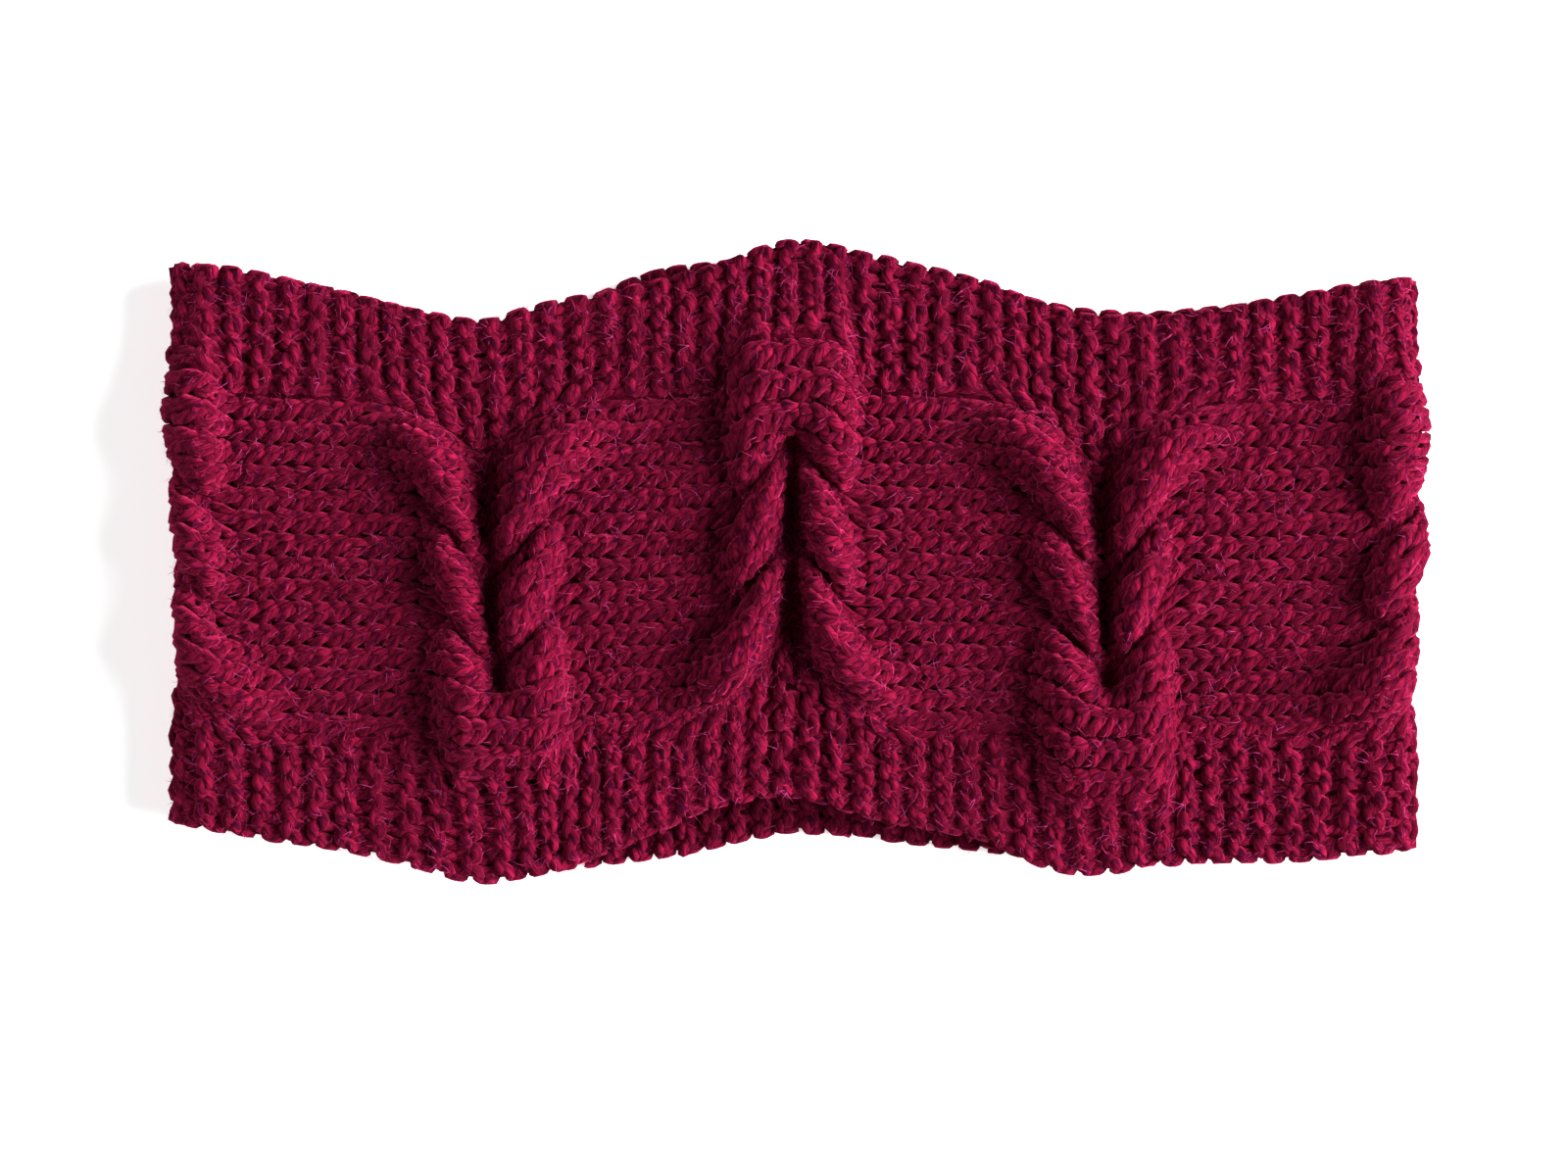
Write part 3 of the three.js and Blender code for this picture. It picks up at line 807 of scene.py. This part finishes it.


# The yarn's wool: twisted plies with painted shade in the grooves between them, fine fibres, light and dark
# stretches, and plum flecks.
def makeWool():
    material, graph = newMaterial("woolYarn")
    uv = graph.add("ShaderNodeUVMap", {"uv_map": "strandUv"})["UV"]
    parts = graph.add("ShaderNodeSeparateXYZ", None, {"Vector": uv})
    along = parts["Y"]
    turn = (parts["X"] + along / woolFinish["plyTurn"]) * (2 * math.pi)
    ply = abs(graph.maths("COSINE", turn * (woolFinish["plies"] / 2)))
    fibrePlace = vector(
        graph,
        X=graph.maths("COSINE", turn) * woolFinish["fibreRound"],
        Y=graph.maths("SINE", turn) * woolFinish["fibreRound"],
        Z=along * woolFinish["fibreAlong"],
    )
    fibre = noise(graph, fibrePlace, woolFinish["fibreScale"], 4.0)
    heatherPlace = vector(graph, X=turn * woolFinish["heatherRound"], Z=along * woolFinish["heatherAlong"])
    heather = noise(graph, heatherPlace, woolFinish["heatherScale"], 2.0)
    fleckPlace = vector(graph, X=turn * woolFinish["fleckRound"], Z=along * woolFinish["fleckAlong"])
    fleck = noise(graph, fleckPlace, woolFinish["fleckScale"], 1.0)
    tone = fibre * woolFinish["fibreShare"] + heather * woolFinish["heatherShare"]
    lit = ranged(graph, tone, *woolFinish["toneRange"])
    # painted shade: the colour darkens towards the grooves where the plies meet
    groove = ranged(graph, ply, 0.0, woolFinish["plyGroove"], woolFinish["grooveDark"], 0.0)
    flecked = ranged(graph, fleck, *woolFinish["fleckRange"], 0.0, woolFinish["fleckStrength"])
    colour = mixed(graph, lit, woolFinish["body"], woolFinish["bright"])
    colour = mixed(graph, groove, colour, woolFinish["deep"])
    colour = mixed(graph, flecked, colour, woolFinish["plum"])
    relief = ply * woolFinish["plyRelief"] + fibre * woolFinish["fibreRelief"]
    finishWool(graph, colour, relief, 1.0, woolFinish["reliefDepth"], woolSheen)
    return material


# Wool seen too small for its plies to show: two tones that change every few millimetres.
tweed = {"scale": 500.0, "toneRange": (0.4, 0.6), "reliefStrength": 0.6, "reliefDepth": 0.3}


def makeTweed(name, dark, light):
    material, graph = newMaterial(name)
    patch = noise(graph, graph.add("ShaderNodeTexCoord")["Object"], tweed["scale"], 3.0)
    colour = mixed(graph, ranged(graph, patch, *tweed["toneRange"]), dark, light)
    finishWool(graph, colour, patch, tweed["reliefStrength"], tweed["reliefDepth"], {})
    return material


def meshPiece(name, points, faces, material):
    mesh = bpy.data.meshes.new(name)
    mesh.from_pydata((points * mm).tolist(), [], faces.tolist())
    mesh.materials.append(material)
    mesh.polygons.foreach_set("use_smooth", np.ones(len(mesh.polygons), bool))
    piece = bpy.data.objects.new(name, mesh)
    bpy.context.scene.collection.objects.link(piece)
    return piece


# The knitting's own thickness, seen between the loops: a sheet that follows the middle of the fabric, in the
# wool's own red darkened as painted shade for the gaps between the loops.
groundShadeSheet = {
    "step": 4,  # net points from one of its own to the next
    "panelOffset": -0.9,  # how far it is in front of the middle, in millimetres
    "borderOffset": 0.3,
    "offsetSoft": 0.9,  # it changes from one to the other over this many stitches
    "edgeRise": 0.5,  # along the panel's edge it is this much further in front
    "lowest": 0.3,  # above the floor
    # the wool's own tones, darkened as painted shade for the gaps between the loops
    "dark": (0.04, 0.0008, 0.008, 1),
    "light": (0.11, 0.0022, 0.021, 1),
}


def makeGround():
    spare = spareStitches * finePerStitch
    stitches = np.arange(net.shape[1]) / finePerStitch - spareStitches - stitchCount / 2
    panelEdge = knitting["panelStitches"] / 2
    outside = ease(np.abs(stitches), panelEdge - groundShadeSheet["offsetSoft"], panelEdge)
    offset = blend(groundShadeSheet["panelOffset"], groundShadeSheet["borderOffset"], outside)
    onEdge = np.abs(np.abs(stitches) - panelEdge) < 1 / finePerStitch
    offset += groundShadeSheet["edgeRise"] * onEdge
    step = groundShadeSheet["step"]
    table = (net + netNormal * offset[None, :, None])[::step, spare : net.shape[1] - spare : step]
    rows, stitches = table.shape[:2]
    number = np.arange(rows * stitches).reshape(rows, stitches)
    after = np.roll(number, -1, axis=0)
    faces = np.stack([number[:, :-1], after[:, :-1], after[:, 1:], number[:, 1:]], axis=-1).reshape(-1, 4)
    points = table.reshape(-1, 3)
    points[:, 2] = np.maximum(points[:, 2], groundShadeSheet["lowest"])
    print("ground", len(faces) * 2, "triangles")
    # its dark tweed is painted shade in the gaps between the loops
    material = makeTweed("woolGroundShade", groundShadeSheet["dark"], groundShadeSheet["light"])
    return meshPiece("ground", points, faces, material)


# Loose fibres: thin bent ribbons that stand a little off the yarn.
fuzz = {
    "count": 32000,
    "length": 2.3,
    "lengths": (0.35, 1.3),  # the shortest and longest, as shares of the length
    "width": 0.1,
    "taper": 0.6,  # how much narrower the tip is
    "parts": 3,
    "outer": 0.85,  # the share that stands on the outer side
    "root": 0.8,  # where a fibre starts, in radii from the middle of the yarn
    "rise": (0.15, 0.8),  # how steeply it leaves the yarn
    "droop": 0.55,  # how far it bends back
    "swing": 0.3,  # how far it bends sideways
    "twist": 0.5,
    "lowest": 0.15,  # above the floor
    "seed": 3,
    "dark": (0.34, 0.025, 0.11, 1),
    "light": (0.72, 0.1, 0.34, 1),
}


def makeFuzz(lines):
    random = np.random.default_rng(fuzz["seed"])
    rows, stitches, depth = (np.concatenate(a) for a in zip(*lines))
    chosen = random.integers(0, len(rows), fuzz["count"])
    rows, stitches, depth = rows[chosen], stitches[chosen], depth[chosen]
    normal = fromNet(netNormal, rows, stitches)
    outward = np.where(random.random(fuzz["count"]) < fuzz["outer"], 1, -1)[:, None]
    anyWay = random.normal(0, 1, (fuzz["count"], 3))
    flat = anyWay - normal * (anyWay * normal).sum(axis=1)[:, None]
    flat /= np.linalg.norm(flat, axis=1)[:, None]
    side = np.cross(normal, flat)
    length = fuzz["length"] * random.uniform(*fuzz["lengths"], (fuzz["count"], 1))
    rise = random.uniform(*fuzz["rise"], (fuzz["count"], 1))
    swing = random.normal(0, fuzz["swing"], (fuzz["count"], 1))
    root = placed(rows, stitches, depth) + normal * outward * yarn["radius"] * fuzz["root"]
    share = np.linspace(0, 1, fuzz["parts"] + 1)[:, None, None]
    lifted = normal * outward * rise * (share - fuzz["droop"] * share**2)
    path = root + length * (flat * share + side * swing * share**2 + lifted)
    wide = np.cross(flat, normal + anyWay * fuzz["twist"])
    wide *= fuzz["width"] / 2 / np.linalg.norm(wide, axis=1)[:, None]
    wide = wide * (1 - fuzz["taper"] * share)
    path[..., 2] = np.maximum(path[..., 2], fuzz["lowest"])
    points = np.stack([path - wide, path + wide], axis=2)
    number = np.arange(points[..., 0].size).reshape(points.shape[:3])
    faces = np.stack([number[:-1, :, 0], number[:-1, :, 1], number[1:, :, 1], number[1:, :, 0]], axis=-1)
    faces = faces.reshape(-1, 4)
    print("fuzz", len(faces) * 2, "triangles")
    material = makeTweed("woolFuzz", fuzz["dark"], fuzz["light"])
    return meshPiece("fuzz", points.reshape(-1, 3), faces, material)


wool = makeWool()
strandTree = makeStrandTree()
rowsPerPiece = rowCount // len(yarn["pieces"])
lines = [yarnLine(k * rowsPerPiece, rowsPerPiece) for k in range(len(yarn["pieces"]))]
pieces = []
for name, line in zip(yarn["pieces"], lines):
    piece = yarnPath(name, placed(*line), line[1])
    values = {"Radius": yarn["radius"] * mm, "Sides": yarn["sides"], "Material": wool}
    pieces.append(applyTree(piece, strandTree, values))
    print(name, len(piece.data.polygons) * 2, "triangles")
ground = makeGround()
pieces.append(makeFuzz(lines))
for piece in [ground, *pieces]:
    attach(piece, "root")
    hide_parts("band")


# The studio: a white floor, a large soft light from the right and a weak one from the left.
white = (1, 1, 1, 1)
studio = {
    "floorSize": 6.0,
    "floor": (0.9, 0.9, 0.9, 1),
    "floorRoughness": 0.9,
    "floorGlow": 0.58,
    "keyLight": {"place": (2.1, 0.15, 1.1), "size": 2.1, "power": 176},
    "fillLight": {"place": (-1.8, -0.2, 0.9), "size": 1.6, "power": 22},
    "worldLight": 0.12,
    "gamma": 0.82,
}


def makeFloor():
    mesh = bpy.data.meshes.new("floor")
    half = studio["floorSize"] / 2
    corners = [(-half, -half, 0), (half, -half, 0), (half, half, 0), (-half, half, 0)]
    mesh.from_pydata(corners, [], [(0, 1, 2, 3)])
    floor = bpy.data.objects.new("floor", mesh)
    bpy.context.scene.collection.objects.link(floor)
    material = bpy.data.materials.new("floorWhite")
    material.use_nodes = True
    shader = material.node_tree.nodes["Principled BSDF"]
    shader.inputs["Base Color"].default_value = studio["floor"]
    shader.inputs["Roughness"].default_value = studio["floorRoughness"]
    shader.inputs["Emission Color"].default_value = white
    shader.inputs["Emission Strength"].default_value = studio["floorGlow"]
    mesh.materials.append(material)


# A round soft light that points at the middle of the band.
def addLight(name):
    light = bpy.data.lights.new(name, "AREA")
    light.shape = "DISK"
    light.size = studio[name]["size"]
    light.energy = studio[name]["power"]
    lamp = bpy.data.objects.new(name, light)
    lamp.location = studio[name]["place"]
    lamp.rotation_euler = (-Vector(studio[name]["place"])).to_track_quat("-Z", "Y").to_euler()
    bpy.context.scene.collection.objects.link(lamp)


def makeWorld():
    world = bpy.data.worlds.new("studioWorld")
    world.use_nodes = True
    background = world.node_tree.nodes["Background"]
    background.inputs["Color"].default_value = white
    background.inputs["Strength"].default_value = studio["worldLight"]
    bpy.context.scene.world = world
    bpy.context.scene.view_settings.view_transform = "Standard"
    bpy.context.scene.view_settings.gamma = studio["gamma"]


# The camera looks straight down; the photograph's frame is 1600 pixels wide.
view = {
    "pixel": 0.1846,  # millimetres
    "frameWidth": 1600,
    "centre": (-1.75, -4.9),
    "level": 12,  # the height where the frame is that wide
    "lens": 100,
    "sensor": 36,
}


def makeCamera():
    camera = bpy.data.cameras.new("camera")
    camera.lens = view["lens"]
    camera.sensor_width = view["sensor"]
    frameWidth = view["frameWidth"] * view["pixel"]
    distance = frameWidth * view["lens"] / view["sensor"]
    eye = bpy.data.objects.new("camera", camera)
    eye.location = (view["centre"][0] * mm, view["centre"][1] * mm, (view["level"] + distance) * mm)
    bpy.context.scene.collection.objects.link(eye)
    bpy.context.scene.camera = eye


makeFloor()
addLight("keyLight")
addLight("fillLight")
makeWorld()
makeCamera()
print("studio and camera ready")
